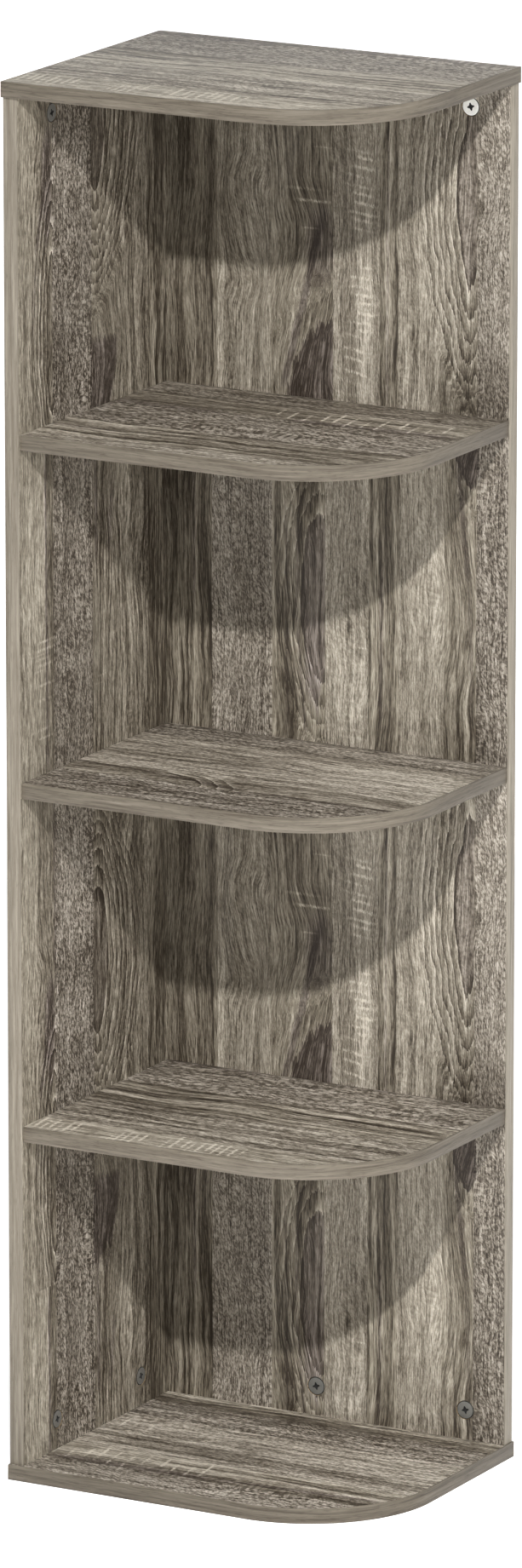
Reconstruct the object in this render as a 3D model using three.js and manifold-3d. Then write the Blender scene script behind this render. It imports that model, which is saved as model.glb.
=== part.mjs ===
// Corner shelf unit in millimetres: two panels in an L carry five boards with a round front corner.
// X runs right along the back panel, Y runs to the rear and Z runs up from the underside's middle.
import * as THREE from 'three';
import { mergeVertices } from 'three/addons/utils/BufferGeometryUtils.js';
import Module from 'manifold-3d';

const wasm = await Module();
wasm.setup();

// Overall size, over the top and bottom boards
const width = 310;
const depth = 240;
const height = 1084;

// Boards and their edge bands
const boardThickness = 12;
const cornerRadius = 104;
const bandThickness = 1;

// How far the top and bottom boards reach past the panels
const leftOverhang = 0.5;
const rightOverhang = 1;
const frontOverhang = 2.5;
const rearOverhang = 1.5;

// How far the shelves stand back from the panels' free edges
const shelfRightSetback = 1;
const shelfFrontSetback = 2;

// Clearance between a piece and the hole that it sits in, and the overrun of cuts
const fitGap = 0.3;
const overrun = 2;

// Cam locks in the panels' inner faces
const camHoleDiameter = 15;
const camFaceThickness = 2;
const camWall = 1.6;
const camFloorShare = 0.18;
const camTurn = Math.PI;
const bottomCamSetback = 23.5;
const topCamSetback = 19.5;
const camCrossLength = 6.4;
const camCrossWidth = 1.8;
const camCrossDepthShare = 0.7;

// Cam bolts, from the cam's hollow into the top or bottom board
const boltHeadShare = 0.73;
const boltNeckShare = 0.6;
const boltHeadLength = 2.6;
const boltShankDiameter = 6;
const boltThreadDiameter = 5;
const boltThreadShare = 0.7;

// Wooden dowels beside the cam bolts
const dowelDiameter = 6;
const dowelPanelDepth = 16;
const dowelBoardShare = 0.66;
const dowelChamfer = 0.8;

// Countersunk screws through the panels
const screwLength = 40;
const screwDiameter = 4;
const screwHeadDiameter = 7.6;
const screwHeadHeight = 2.4;
const screwTipLength = 3;
const screwCrossLength = 4.4;
const screwCrossWidth = 1.1;
const screwCrossDepth = 1.4;

// Places along the panels' inner faces, from the inner corner to the free edge
const backCamShares = [0.444, 0.884];
const sideCamShares = [0.188, 0.768];
const backDowelShares = [0.14, 0.664];
const sideDowelShares = [0.478, 0.92];
const shelfScrewShares = [0.2, 0.8];

// Sides of round shapes
const arcSides = 12;
const camSides = 24;
const roundSides = 12;

// Planes of the panels
const panelLeft = leftOverhang - width / 2;
const panelRight = width / 2 - rightOverhang;
const panelFront = frontOverhang - depth / 2;
const panelRear = depth / 2 - rearOverhang;
const innerLeft = panelLeft + boardThickness;
const innerRear = panelRear - boardThickness;
const midSide = panelLeft + boardThickness / 2;
const midBack = panelRear - boardThickness / 2;
const panelBottom = boardThickness;
const panelTop = height - boardThickness;
const panelHeight = panelTop - panelBottom;
const backRun = panelRight - innerLeft;
const sideRun = innerRear - panelFront;

// Heights of the shelves, with equal clear spaces between all boards
const shelfNames = ['shelf_lower', 'shelf_middle', 'shelf_upper'];
const spaceCount = shelfNames.length + 1;
const clearSpace = (panelHeight - shelfNames.length * boardThickness) / spaceCount;
const levelPitch = clearSpace + boardThickness;

// Sizes of the hardware that follow from the panel and from each other
const camFloor = boardThickness * camFloorShare;
const camHoleRadius = camHoleDiameter / 2;
const camRadius = camHoleRadius - fitGap;
const camDepth = boardThickness - camFloor - fitGap;
const camBore = camRadius - camWall;
const boltAxisDepth = boardThickness / 2;
const boltHeadRadius = (boltAxisDepth - camFloor) * boltHeadShare;
const boltNeckRadius = boltHeadRadius * boltNeckShare;
const boltHeadReach = Math.sqrt((camBore - fitGap) ** 2 - boltHeadRadius ** 2);
const boltThreadLength = boardThickness * boltThreadShare;
const dowelBoardDepth = boardThickness * dowelBoardShare;

const right = new THREE.Vector3(1, 0, 0);
const front = new THREE.Vector3(0, -1, 0);
const rear = new THREE.Vector3(0, 1, 0);
const down = new THREE.Vector3(0, 0, -1);
const up = new THREE.Vector3(0, 0, 1);

const materials = {
  side: { color: 0x8d867e, roughness: 0.6, metalness: 0 },
  back: { color: 0x938b82, roughness: 0.6, metalness: 0 },
  board: { color: 0x9a9187, roughness: 0.6, metalness: 0 },
  band: { color: 0xa39a8f, roughness: 0.55, metalness: 0 },
  zinc: { color: 0x9b9d9f, roughness: 0.35, metalness: 0.9 },
  steel: { color: 0xb8babd, roughness: 0.3, metalness: 0.95 },
  beech: { color: 0xc9a77c, roughness: 0.7, metalness: 0 },
};

const unit = new THREE.Group();
unit.name = 'corner_shelf_unit';

function addMesh(name, geometry, material, position) {
  geometry.computeVertexNormals();
  const mesh = new THREE.Mesh(geometry, new THREE.MeshStandardMaterial(materials[material]));
  mesh.name = name;
  mesh.position.copy(position);
  unit.add(mesh);
  return mesh;
}

function toSolid(geometry) {
  geometry.deleteAttribute('normal');
  geometry.deleteAttribute('uv');
  const merged = mergeVertices(geometry);
  const vertProperties = new Float32Array(merged.attributes.position.array);
  const triVerts = new Uint32Array(merged.index.array);
  return new wasm.Manifold(new wasm.Mesh({ numProp: 3, vertProperties, triVerts }));
}

function toGeometry(solid) {
  const cut = solid.getMesh();
  const geometry = new THREE.BufferGeometry();
  geometry.setAttribute('position', new THREE.BufferAttribute(cut.vertProperties, cut.numProp));
  geometry.setIndex(new THREE.BufferAttribute(cut.triVerts, 1));
  return geometry;
}

function cutAway(solid, tools) {
  return tools.reduce((rest, tool) => rest.subtract(tool), solid);
}

// A straight or tapered round tool that starts at a point and runs along a direction
function rod(start, direction, length, startRadius, endRadius, sides) {
  const geometry = new THREE.CylinderGeometry(endRadius, startRadius, length, sides);
  geometry.translate(0, length / 2, 0);
  geometry.applyQuaternion(new THREE.Quaternion().setFromUnitVectors(rear, direction));
  geometry.translate(start.x, start.y, start.z);
  return toSolid(geometry);
}

// A blind hole that opens at a face and runs into the material
function blindHole(mouth, inward, holeDepth, radius, sides) {
  const start = mouth.clone().addScaledVector(inward, -overrun);
  return rod(start, inward, holeDepth + overrun, radius, radius, sides);
}

// The cross-shaped recess of a driver, cut down from the plane z = 0
function crossRecess(length, slotWidth, recessDepth) {
  return [[length, slotWidth], [slotWidth, length]].map(([sizeX, sizeY]) => {
    const arm = new THREE.BoxGeometry(sizeX, sizeY, recessDepth + overrun);
    arm.translate(0, 0, (overrun - recessDepth) / 2);
    return toSolid(arm);
  });
}

// Boards have their rear left corner at the origin and a round front right corner
function boardOutline(wide, deep, inset) {
  const centreX = wide - cornerRadius;
  const centreY = cornerRadius - deep;
  const outline = new THREE.Shape();
  outline.moveTo(0, 0);
  outline.lineTo(0, inset - deep);
  outline.absarc(centreX, centreY, cornerRadius - inset, -Math.PI / 2, 0, false);
  outline.lineTo(wide - inset, 0);
  outline.closePath();
  return outline;
}

// The band covers the front edge, the round corner and the right edge
function bandOutline(wide, deep) {
  const centreX = wide - cornerRadius;
  const centreY = cornerRadius - deep;
  const outline = new THREE.Shape();
  outline.moveTo(0, -deep);
  outline.absarc(centreX, centreY, cornerRadius, -Math.PI / 2, 0, false);
  outline.lineTo(wide, 0);
  outline.lineTo(wide - bandThickness, 0);
  outline.absarc(centreX, centreY, cornerRadius - bandThickness, 0, -Math.PI / 2, true);
  outline.lineTo(0, bandThickness - deep);
  outline.closePath();
  return outline;
}

function extrudeUp(outline, tall) {
  return new THREE.ExtrudeGeometry(outline, { depth: tall, bevelEnabled: false, curveSegments: arcSides });
}

function addBoard(name, wide, deep, corner, tools) {
  const offset = corner.clone().negate().toArray();
  const blank = toSolid(extrudeUp(boardOutline(wide, deep, bandThickness), boardThickness));
  const localTools = tools.map((tool) => tool.translate(offset));
  addMesh(name, toGeometry(cutAway(blank, localTools)), 'board', corner);
  addMesh(`${name}_edge_band`, extrudeUp(bandOutline(wide, deep), boardThickness), 'band', corner);
}

function addPanel(name, material, sizeX, sizeY, corner, tools) {
  const blank = new THREE.BoxGeometry(sizeX, sizeY, panelHeight);
  blank.translate(sizeX / 2, sizeY / 2, panelHeight / 2);
  const offset = corner.clone().negate().toArray();
  const localTools = tools.map((tool) => tool.translate(offset));
  addMesh(name, toGeometry(cutAway(toSolid(blank), localTools)), material, corner);
}

function addPanelBand(name, sizeX, sizeY, corner) {
  const band = new THREE.BoxGeometry(sizeX, sizeY, panelHeight);
  band.translate(sizeX / 2, sizeY / 2, panelHeight / 2);
  addMesh(name, band, 'band', corner);
}

// Joints between the panels and the top and bottom boards
const ends = [
  { tag: 'bottom', plane: panelBottom, toBoard: down, camSetback: bottomCamSetback },
  { tag: 'top', plane: panelTop, toBoard: up, camSetback: topCamSetback },
];
const walls = [
  {
    tag: 'back',
    camTags: ['left', 'right'],
    camShares: backCamShares,
    dowelShares: backDowelShares,
    outward: front,
    onFace: (share, z) => new THREE.Vector3(innerLeft + backRun * share, innerRear, z),
    onMiddle: (share, z) => new THREE.Vector3(innerLeft + backRun * share, midBack, z),
    onOutside: (share, z) => new THREE.Vector3(innerLeft + backRun * share, panelRear, z),
  },
  {
    tag: 'side',
    camTags: ['rear', 'front'],
    camShares: sideCamShares,
    dowelShares: sideDowelShares,
    outward: right,
    onFace: (share, z) => new THREE.Vector3(innerLeft, innerRear - sideRun * share, z),
    onMiddle: (share, z) => new THREE.Vector3(midSide, innerRear - sideRun * share, z),
    onOutside: (share, z) => new THREE.Vector3(panelLeft, innerRear - sideRun * share, z),
  },
];

// Turns a piece so that its +Y lies along a direction and its +Z along a face's outward normal
function aim(mesh, along, outward) {
  const across = new THREE.Vector3().crossVectors(along, outward);
  mesh.quaternion.setFromRotationMatrix(new THREE.Matrix4().makeBasis(across, along, outward));
}

// Lathe profiles run from the lower end on the axis to the upper end on the axis
function lathe(profile, sides) {
  return new THREE.LatheGeometry(profile.map(([radius, y]) => new THREE.Vector2(radius, y)), sides);
}

// A cam's face lies at z = 0, its body runs down to -camDepth and its bolt comes in along +Y
function camGeometry() {
  const body = rod(new THREE.Vector3(0, 0, -camDepth), up, camDepth, camRadius, camRadius, camSides);
  const hollowDepth = camDepth - camFaceThickness;
  const hollow = blindHole(new THREE.Vector3(0, 0, -camDepth), up, hollowDepth, camBore, camSides);

  const slotHalf = boltNeckRadius + fitGap;
  const slotMargin = Math.asin((slotHalf + fitGap) / camBore);
  const slotReach = camRadius + overrun;
  const sector = new THREE.Shape();
  sector.moveTo(0, 0);
  sector.absarc(0, 0, slotReach, Math.PI / 2 - camTurn - slotMargin, Math.PI / 2 + slotMargin, false);
  sector.closePath();
  const slot = new THREE.ExtrudeGeometry(sector, {
    depth: slotHalf * 2,
    bevelEnabled: false,
    curveSegments: roundSides,
  });
  slot.translate(0, 0, -boltAxisDepth - slotHalf);

  const entryHalf = boltHeadRadius + fitGap;
  const entryHeight = camDepth - boltAxisDepth + entryHalf + overrun;
  const entry = new THREE.BoxGeometry(slotReach, entryHalf * 2, entryHeight);
  entry.translate(slotReach / 2, 0, entryHeight / 2 - camDepth - overrun);
  entry.rotateZ(Math.PI / 2 - camTurn);

  const cross = crossRecess(camCrossLength, camCrossWidth, camFaceThickness * camCrossDepthShare);
  return toGeometry(cutAway(body, [hollow, toSolid(slot), toSolid(entry), ...cross]));
}

// A bolt lies along +Y from its head at the origin's cam to its thread in the board
function boltGeometry(camSetback) {
  const headRear = boltHeadReach - boltHeadLength;
  const neckEnd = camHoleRadius + fitGap;
  const shankRadius = boltShankDiameter / 2;
  const threadRadius = boltThreadDiameter / 2;
  return lathe([
    [0, headRear],
    [boltHeadRadius, headRear],
    [boltHeadRadius, boltHeadReach],
    [boltNeckRadius, boltHeadReach],
    [boltNeckRadius, neckEnd],
    [shankRadius, neckEnd],
    [shankRadius, camSetback - fitGap],
    [threadRadius, camSetback - fitGap],
    [threadRadius, camSetback + boltThreadLength],
    [0, camSetback + boltThreadLength],
  ], roundSides);
}

function dowelGeometry() {
  const radius = dowelDiameter / 2;
  return lathe([
    [0, -dowelPanelDepth],
    [radius - dowelChamfer, -dowelPanelDepth],
    [radius, dowelChamfer - dowelPanelDepth],
    [radius, dowelBoardDepth - dowelChamfer],
    [radius - dowelChamfer, dowelBoardDepth],
    [0, dowelBoardDepth],
  ], roundSides);
}

// A screw's head is flush with z = 0 and its tip lies at -screwLength
function screwGeometry() {
  const radius = screwDiameter / 2;
  const blank = lathe([
    [0, -screwLength],
    [radius, screwTipLength - screwLength],
    [radius, -screwHeadHeight],
    [screwHeadDiameter / 2, 0],
    [0, 0],
  ], roundSides);
  blank.rotateX(Math.PI / 2);
  const cross = crossRecess(screwCrossLength, screwCrossWidth, screwCrossDepth);
  return toGeometry(cutAway(toSolid(blank), cross));
}

// The hole of a screw has a countersink at the outer face and runs past the tip
function screwHole(mouth, inward) {
  const holeRadius = screwDiameter / 2 + fitGap;
  const sinkRadius = screwHeadDiameter / 2 + fitGap;
  const sinkEnd = screwHeadHeight + fitGap;
  const shaft = blindHole(mouth, inward, screwLength + fitGap, holeRadius, roundSides);
  const sink = rod(mouth, inward, sinkEnd, sinkRadius, holeRadius, roundSides);
  return [shaft, sink];
}

const holes = { side: [], back: [], bottom: [], top: [], shelves: shelfNames.map(() => []) };

function addCamJoint(wall, end, index) {
  const share = wall.camShares[index];
  const tag = `${end.tag}_${wall.tag}_${wall.camTags[index]}`;
  const camHeight = end.plane - end.toBoard.z * end.camSetback;
  const face = wall.onFace(share, camHeight);
  const mouth = wall.onMiddle(share, end.plane);
  const inward = wall.outward.clone().negate();
  const away = end.toBoard.clone().negate();
  const boltHoleRadius = boltShankDiameter / 2 + fitGap;
  const threadHoleRadius = boltThreadDiameter / 2 + fitGap;

  const cam = addMesh(`cam_lock_${tag}`, camGeometry(), 'zinc', face);
  const boltPlace = wall.onMiddle(share, camHeight);
  const bolt = addMesh(`cam_bolt_${tag}`, boltGeometry(end.camSetback), 'steel', boltPlace);
  aim(cam, end.toBoard, wall.outward);
  aim(bolt, end.toBoard, wall.outward);

  const threadHoleDepth = boltThreadLength + fitGap;
  holes[wall.tag].push(blindHole(face, inward, camDepth + fitGap, camHoleRadius, camSides));
  holes[wall.tag].push(blindHole(mouth, away, end.camSetback, boltHoleRadius, roundSides));
  holes[end.tag].push(blindHole(mouth, end.toBoard, threadHoleDepth, threadHoleRadius, roundSides));
}

function addDowel(wall, end, index) {
  const mouth = wall.onMiddle(wall.dowelShares[index], end.plane);
  const away = end.toBoard.clone().negate();
  const holeRadius = dowelDiameter / 2 + fitGap;
  const name = `dowel_${end.tag}_${wall.tag}_${wall.camTags[index]}`;
  const dowel = addMesh(name, dowelGeometry(), 'beech', mouth);
  aim(dowel, end.toBoard, wall.outward);
  holes[wall.tag].push(blindHole(mouth, away, dowelPanelDepth + fitGap, holeRadius, roundSides));
  holes[end.tag].push(blindHole(mouth, end.toBoard, dowelBoardDepth + fitGap, holeRadius, roundSides));
}

for (const wall of walls) {
  for (const end of ends) {
    for (const index of wall.camTags.keys()) {
      addCamJoint(wall, end, index);
      addDowel(wall, end, index);
    }
  }
}

// Each screw gives its hole to the panel that it passes and to the piece that it holds
function addScrew(name, mouth, wall, passed, held) {
  const screw = addMesh(name, screwGeometry(), 'steel', mouth);
  aim(screw, up, wall.outward.clone().negate());
  passed.push(...screwHole(mouth, wall.outward));
  held.push(...screwHole(mouth, wall.outward));
}

shelfNames.forEach((shelfName, level) => {
  const middle = levelPitch * (level + 1) + boardThickness / 2;
  for (const wall of walls) {
    shelfScrewShares.forEach((share, index) => {
      const name = `screw_${shelfName}_${wall.tag}_${wall.camTags[index]}`;
      addScrew(name, wall.onOutside(share, middle), wall, holes[wall.tag], holes.shelves[level]);
    });
  }
});

// Screws through the side panel into the back panel's left edge, one for each space
const sideWall = walls[1];
for (let space = 0; space < spaceCount; space += 1) {
  const middle = panelBottom + levelPitch * space + clearSpace / 2;
  const mouth = new THREE.Vector3(panelLeft, midBack, middle);
  addScrew(`screw_corner_${space + 1}`, mouth, sideWall, holes.side, holes.back);
}

addPanel('side_panel', 'side', boardThickness, panelRear - panelFront - bandThickness,
  new THREE.Vector3(panelLeft, panelFront + bandThickness, panelBottom), holes.side);
addPanelBand('side_panel_edge_band', boardThickness, bandThickness,
  new THREE.Vector3(panelLeft, panelFront, panelBottom));
addPanel('back_panel', 'back', backRun - bandThickness, boardThickness,
  new THREE.Vector3(innerLeft, innerRear, panelBottom), holes.back);
addPanelBand('back_panel_edge_band', bandThickness, boardThickness,
  new THREE.Vector3(panelRight - bandThickness, innerRear, panelBottom));

addBoard('bottom_board', width, depth, new THREE.Vector3(-width / 2, depth / 2, 0), holes.bottom);
addBoard('top_board', width, depth, new THREE.Vector3(-width / 2, depth / 2, panelTop), holes.top);
shelfNames.forEach((shelfName, level) => {
  const corner = new THREE.Vector3(innerLeft, innerRear, levelPitch * (level + 1));
  const wide = backRun - shelfRightSetback;
  const deep = sideRun - shelfFrontSetback;
  addBoard(shelfName, wide, deep, corner, holes.shelves[level]);
});

export default unit;
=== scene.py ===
import bpy
import math
from mathutils import Euler, Matrix, Vector


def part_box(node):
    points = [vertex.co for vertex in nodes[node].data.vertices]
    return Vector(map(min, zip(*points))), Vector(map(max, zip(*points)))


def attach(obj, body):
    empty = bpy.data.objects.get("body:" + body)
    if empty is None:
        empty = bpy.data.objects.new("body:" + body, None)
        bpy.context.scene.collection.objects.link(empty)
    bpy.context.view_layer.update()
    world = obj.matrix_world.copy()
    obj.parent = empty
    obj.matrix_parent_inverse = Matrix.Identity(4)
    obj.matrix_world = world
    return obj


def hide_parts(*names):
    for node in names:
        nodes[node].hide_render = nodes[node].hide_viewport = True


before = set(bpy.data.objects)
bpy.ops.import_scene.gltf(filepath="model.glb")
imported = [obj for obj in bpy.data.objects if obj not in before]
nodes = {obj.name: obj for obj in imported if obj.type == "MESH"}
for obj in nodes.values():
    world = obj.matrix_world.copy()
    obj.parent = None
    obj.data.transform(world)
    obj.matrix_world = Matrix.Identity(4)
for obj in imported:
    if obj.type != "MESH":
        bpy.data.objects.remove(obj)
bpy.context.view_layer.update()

# View and light

view = {
    "target": (-0.0002, -0.0007, 0.5398),
    "azimuth": 29.0,  # degrees to the right of straight on
    "elevation": 14.0,
    "distance": 9.0,
    "lens": 273.78,
}

light = {
    "keyFrom": (1.72, -3.18, 3.23),
    "keyPower": 33,
    "keyRadius": 0.055,  # gives the slightly soft shadow edges
    "soft": {  # from, towards, size, power
        "side": ((3.2, -0.6, 1.5), (0, 0, 0.5), 2.4, 31),
        "front": ((0.6, -3.0, 0.35), (0, 0, 0.5), 1.6, 8),
        "low": ((0.2, -0.75, 0.02), (0.2, -0.75, 1.0), 1.1, 5),  # thrown up by the pale floor
    },
    "fill": 0.3,
    "floorColour": (0.9, 0.896, 0.888, 1),
    "floorSpecks": (0.8, 0.8, 0.79, 1),
    "floorLift": 0.72,
    "floorRadius": 16,
}


def aimAt(thing, target):
    direction = Vector(target) - thing.location
    thing.rotation_euler = direction.to_track_quat("-Z", "Y").to_euler()


def addCamera():
    a = math.radians(view["azimuth"])
    e = math.radians(view["elevation"])
    back = Vector((math.sin(a) * math.cos(e), -math.cos(a) * math.cos(e), math.sin(e)))
    bpy.ops.object.camera_add(location=Vector(view["target"]) + back * view["distance"])
    camera = bpy.context.active_object
    camera.name = "camera"
    camera.data.lens = view["lens"]
    aimAt(camera, view["target"])
    bpy.context.scene.camera = camera


def addSoftLight(name, start, target, size, power):
    bpy.ops.object.light_add(type="AREA", location=start)
    lamp = bpy.context.active_object
    lamp.name = name + "_light"
    lamp.data.shape = "DISK"
    lamp.data.size = size
    lamp.data.energy = power
    lamp.visible_camera = False
    aimAt(lamp, target)


def addLights():
    bpy.ops.object.light_add(type="POINT", location=light["keyFrom"])
    key = bpy.context.active_object
    key.name = "key_light"
    key.data.energy = light["keyPower"]
    key.data.shadow_soft_size = light["keyRadius"]
    key.data.use_nodes = True  # the same strength at every shelf, however far down
    tree = key.data.node_tree
    evenly = tree.nodes.new("ShaderNodeLightFalloff")
    evenly.inputs["Strength"].default_value = 1
    tree.links.new(evenly.outputs["Constant"], tree.nodes["Emission"].inputs["Strength"])
    for name, values in light["soft"].items():
        addSoftLight(name, *values)


# Small helpers for node trees


def isSocket(value):
    return isinstance(value, bpy.types.NodeSocket)


def feed(socket, value):
    if isSocket(value):
        socket.id_data.links.new(value, socket)
    else:
        socket.default_value = value


def addNode(kind, inputs, **settings):
    # The new node goes into the tree that its inputs come from
    tree = next(value.id_data for value in inputs.values() if isSocket(value))
    node = tree.nodes.new("ShaderNode" + kind)
    for name, value in settings.items():
        setattr(node, name, value)
    for key, value in inputs.items():
        feed(node.inputs[key], value)
    return node


def calc(operation, *values):
    return addNode("Math", dict(enumerate(values)), operation=operation).outputs[0]


def plus(first, second):
    return calc("ADD", first, second)


def minus(first, second):
    return calc("SUBTRACT", first, second)


def times(first, *others):
    for other in others:
        first = calc("MULTIPLY", first, other)
    return first


def over(first, second):
    return calc("DIVIDE", first, second)


def addShare(value, share, total):
    return calc("MULTIPLY_ADD", value, share, total)


def absolute(value):
    return calc("ABSOLUTE", value)


def centred(value):
    return minus(value, 0.5)


def fade(value, low, high):
    inputs = {"Value": value, "From Min": low, "From Max": high}
    return addNode("MapRange", inputs, interpolation_type="SMOOTHSTEP").outputs[0]


def span(value, low, high):
    above = calc("GREATER_THAN", value, low)
    below = calc("LESS_THAN", value, high)
    return times(above, below)


def vectorMath(operation, inputs):
    return addNode("VectorMath", inputs, operation=operation).outputs[0]


def noise(place, stretch, detail=2.0, rough=0.5):
    stretched = vectorMath("MULTIPLY", {0: place, 1: stretch})
    inputs = {"Vector": stretched, "Scale": 1.0, "Detail": detail, "Roughness": rough}
    return addNode("TexNoise", inputs).outputs[0]


def chance(number):
    return addNode("TexWhiteNoise", {"W": number}, noise_dimensions="1D").outputs[0]


def choose(share, first, second):
    inputs = {0: share, 2: first, 3: second}
    return addNode("Mix", inputs, data_type="FLOAT").outputs[0]


def mixColour(share, first, second, blend="MIX"):
    inputs = {0: share, 6: first, 7: second}
    return addNode("Mix", inputs, data_type="RGBA", blend_type=blend).outputs[2]


def separate(vector):
    return addNode("SeparateXYZ", {0: vector}).outputs


def combine(x, y, z):
    return addNode("CombineXYZ", {0: x, 1: y, 2: z}).outputs[0]


def offset(place, across):
    return vectorMath("ADD", {0: place, 1: combine(across, 0.0, 0.0)})


def rampOf(value, stops, interpolation="LINEAR"):
    ramp = addNode("ValToRGB", {0: value})
    ramp.color_ramp.interpolation = interpolation
    elements = ramp.color_ramp.elements
    elements[0].position, elements[0].color = stops[0]
    elements[1].position, elements[1].color = stops[-1]
    for position, colour in stops[1:-1]:
        elements.new(position).color = colour
    return ramp.outputs[0]


def linear(red, green, blue):
    def channel(value):
        value = value / 255
        return value / 12.92 if value <= 0.04045 else ((value + 0.055) / 1.055) ** 2.4
    return (channel(red), channel(green), channel(blue), 1)


def startGroup(name, inputs, outputs):
    # Every group reads a place as a vector. All its other inputs and its outputs are numbers
    tree = bpy.data.node_groups.new(name, "ShaderNodeTree")
    addSocket = tree.interface.new_socket
    addSocket(name="Place", in_out="INPUT", socket_type="NodeSocketVector")
    for label in inputs:
        addSocket(name=label, in_out="INPUT", socket_type="NodeSocketFloat")
    for label in outputs:
        addSocket(name=label, in_out="OUTPUT", socket_type="NodeSocketFloat")
    given = tree.nodes.new("NodeGroupInput").outputs
    return tree, given, tree.nodes.new("NodeGroupOutput").inputs


def useGroup(group, inputs):
    return addNode("Group", inputs, node_tree=group).outputs


# Effects of the printed oak. A place is (across, depth, along) the grain, in millimetres

grainLayers = {  # stretch, detail, roughness, and the values where it fades in
    "Fibre": ((1.15, 1.15, 0.06), 2.0, 0.7, 0.36, 0.64),
    "Streak": ((0.2, 0.2, 0.005), 3.0, 0.65, 0.32, 0.68),
    "Line": ((0.34, 0.34, 0.009), 2.0, 0.6, 0.54, 0.66),
    "Broad": ((0.07, 0.07, 0.0025), 2.0, 0.6, 0.32, 0.68),
    "Pore": ((1.3, 1.3, 0.11), 1.0, 0.5, 0.56, 0.66),
    "Dash": ((0.95, 0.95, 0.36), 2.0, 0.65, 0.38, 0.62),
}
grainDrift = {"stretch": (0.02, 0.02, 0.008), "dashSlope": 0.12, "dashBend": 40.0}


def makeGrain():
    tree, given, result = startGroup("grain", ["Bend"], grainLayers)
    place = given["Place"]
    drift = centred(noise(place, grainDrift["stretch"]))
    bent = offset(place, times(drift, given["Bend"]))
    dashBend = times(drift, grainDrift["dashBend"])
    along = separate(place)[2]
    wriggled = offset(place, addShare(along, grainDrift["dashSlope"], dashBend))
    for name, (stretch, detail, rough, low, high) in grainLayers.items():
        start = wriggled if name == "Dash" else bent
        feed(result[name], fade(noise(start, stretch, detail, rough), low, high))
    return tree


# Where a feature is, its size, and the area that it stays within
spotInputs = ("Across", "Along", "Half Width", "Half Length", "Left", "Right", "Bottom", "Top")


def placeInSpot(given, teeth=0.0):
    # How far it is across and along from the middle, and whether it is within the area
    across, depth, along = separate(given["Place"])
    toothed = addShare(given["Ragged"], teeth, along)
    wide = span(across, given["Left"], given["Right"])
    inside = times(wide, span(toothed, given["Bottom"], given["Top"]))
    return minus(across, given["Across"]), minus(along, given["Along"]), inside


archShape = {
    "sway": 14.0,
    "blunt": 0.9,  # how round the pointed rings are at their ends
    "coreEdge": (1.05, 0.9),
    "sharpness": 1.8,
    "push": 0.22,  # how far the grain beside the rings bends round them
}


def makeArches():
    # Nested pointed rings round a long core, as where a board is cut through a cone of year rings
    inputs = (*spotInputs, "Ragged", "Wobble", "Step", "Reach", "Teeth")
    tree, given, result = startGroup("arches", inputs, ("Core", "Rings", "Shift"))
    aside, ahead, inside = placeInSpot(given, given["Teeth"])
    halfWidth, halfLength = given["Half Width"], given["Half Length"]
    side = addShare(given["Wobble"], archShape["sway"], aside)
    share = over(addShare(given["Ragged"], given["Teeth"], ahead), halfLength)
    blunt = times(halfWidth, archShape["blunt"])
    far = calc("SQRT", addShare(side, side, times(blunt, blunt)))
    level = plus(over(minus(far, blunt), halfWidth), times(share, share))
    core = times(fade(level, *archShape["coreEdge"]), inside)
    wave = calc("FRACT", over(minus(level, 1.0), given["Step"]))
    dark = minus(calc("POWER", wave, archShape["sharpness"]), 0.25)
    line = addShare(fade(wave, 0.2, 0.0), -0.5, dark)
    start = addShare(given["Step"], -0.5, 1.0)
    outward = fade(level, given["Reach"], times(given["Reach"], 0.7))
    around = times(outward, calc("GREATER_THAN", level, start))
    plain = over(ahead, halfLength)
    curve = calc("MINIMUM", times(plain, plain), given["Reach"])
    push = times(curve, halfWidth, calc("SIGN", side))
    push = times(push, times(around, archShape["push"]))
    feed(result["Core"], core)
    feed(result["Rings"], times(line, around, inside))
    feed(result["Shift"], times(push, inside))
    return tree


strokes = {
    "thickness": 1.9,
    "tremble": 2.4,
    "jump": 0.3,  # how unevenly the strokes follow each other
    "sway": 0.6,
    "shortest": 0.6,
    "faintest": 0.4,
    "unworn": 0.25,
}


def makeSawMarks():
    # Short pale strokes across the grain, in a ladder
    inputs = (*spotInputs, "Ragged", "Worn", "Pitch", "Slant")
    tree, given, result = startGroup("sawMarks", inputs, ["Marks"])
    aside, ahead, inside = placeInSpot(given)
    halfWidth, halfLength = given["Half Width"], given["Half Length"]
    slanted = times(aside, given["Slant"])
    climb = addShare(given["Ragged"], strokes["tremble"], slanted)
    count = over(plus(ahead, climb), given["Pitch"])
    rung = plus(calc("FLOOR", count), given["Along"])
    one, other = chance(rung), chance(plus(rung, 0.37))
    jump = times(centred(other), strokes["jump"])
    off = absolute(plus(centred(calc("FRACT", count)), jump))
    thin = over(strokes["thickness"], given["Pitch"])
    line = fade(off, thin, times(thin, 0.1))
    sway = times(centred(one), times(halfWidth, strokes["sway"]))
    reach = times(halfWidth, addShare(other, 0.5, strokes["shortest"]))
    short = fade(absolute(minus(aside, sway)), reach, times(reach, 0.45))
    zone = fade(absolute(ahead), halfLength, times(halfLength, 0.8))
    worn = addShare(given["Worn"], 1 - strokes["unworn"], strokes["unworn"])
    strength = addShare(one, 1 - strokes["faintest"], strokes["faintest"])
    feed(result["Marks"], times(line, short, zone, worn, strength, inside))
    return tree


courseInputs = ("From Across", "From Along", "To Across", "To Along", "Half Width")


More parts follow.
